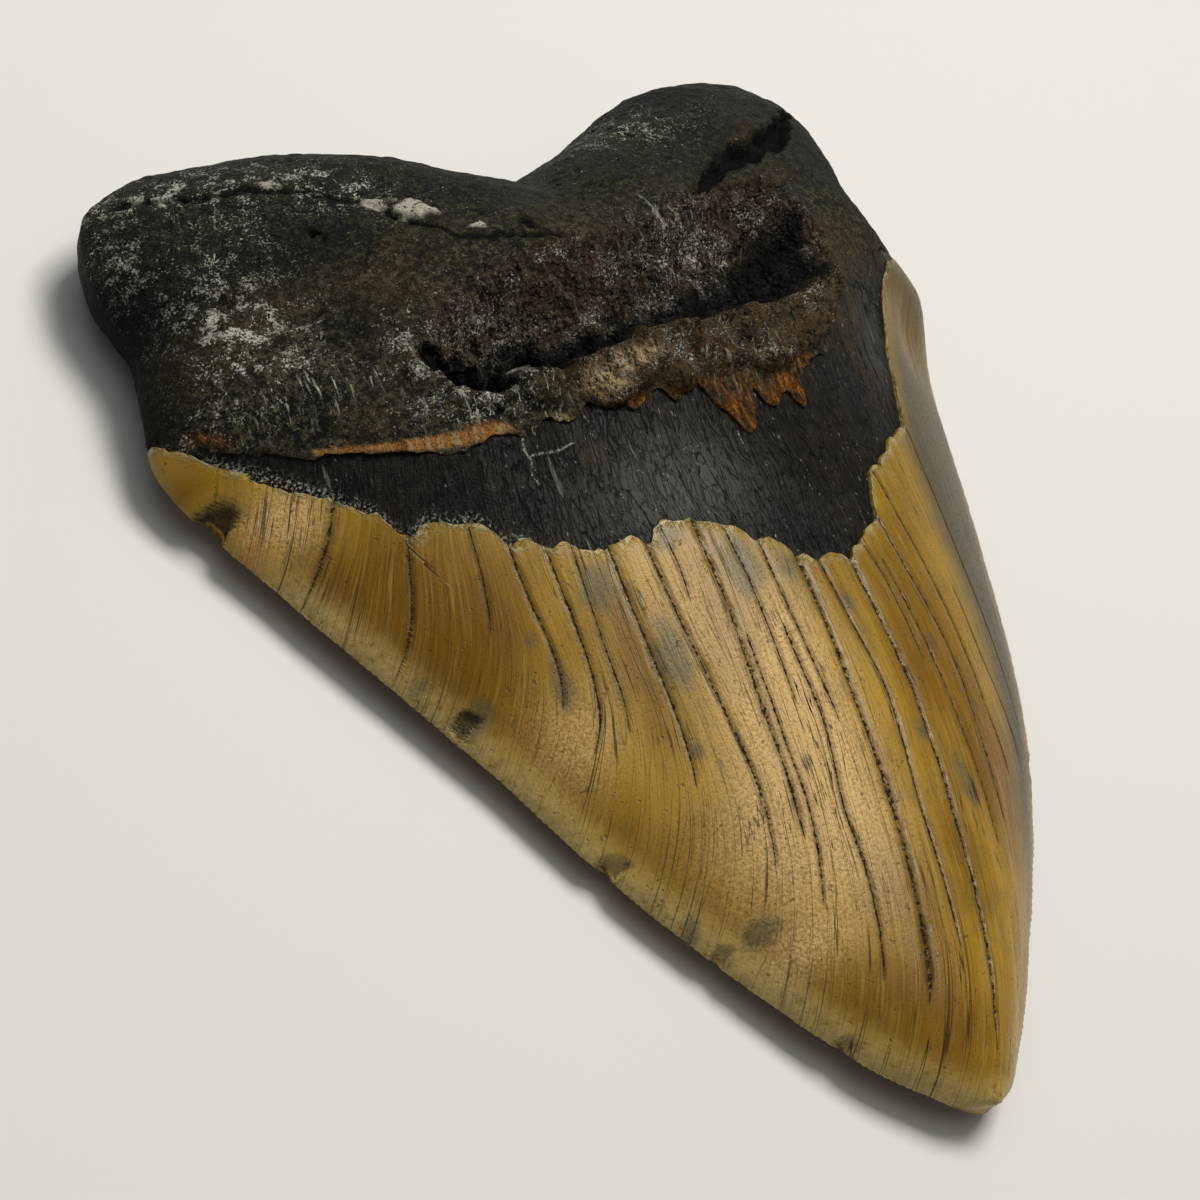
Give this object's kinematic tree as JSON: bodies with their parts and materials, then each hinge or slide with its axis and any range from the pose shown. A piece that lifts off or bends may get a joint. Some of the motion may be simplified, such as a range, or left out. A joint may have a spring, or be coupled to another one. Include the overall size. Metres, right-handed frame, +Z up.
{
  "type": "fossil megalodon tooth",
  "caption": "Large fossil shark tooth lying on its flat face: broad triangular enamel crown with worn serrated edges, dark basal band and a heavy two-lobed root with a torn groove.",
  "frame": {"origin": "on the surface the tooth rests on, under the centre of its outline", "axes": "+X across the tooth, +Y from the tip to the root along the tooth's length, +Z up through its thickness, from the labial face it lies on to the lingual face"},
  "size_m": [0.1176, 0.148, 0.0318],
  "materials": {
    "fossil_tooth": "mineralised enamel and dentine, satin amber crown, matt charcoal root"
  },
  "bodies": {
    "root": {"tooth": "fossil_tooth"}
  },
  "joints": []
}
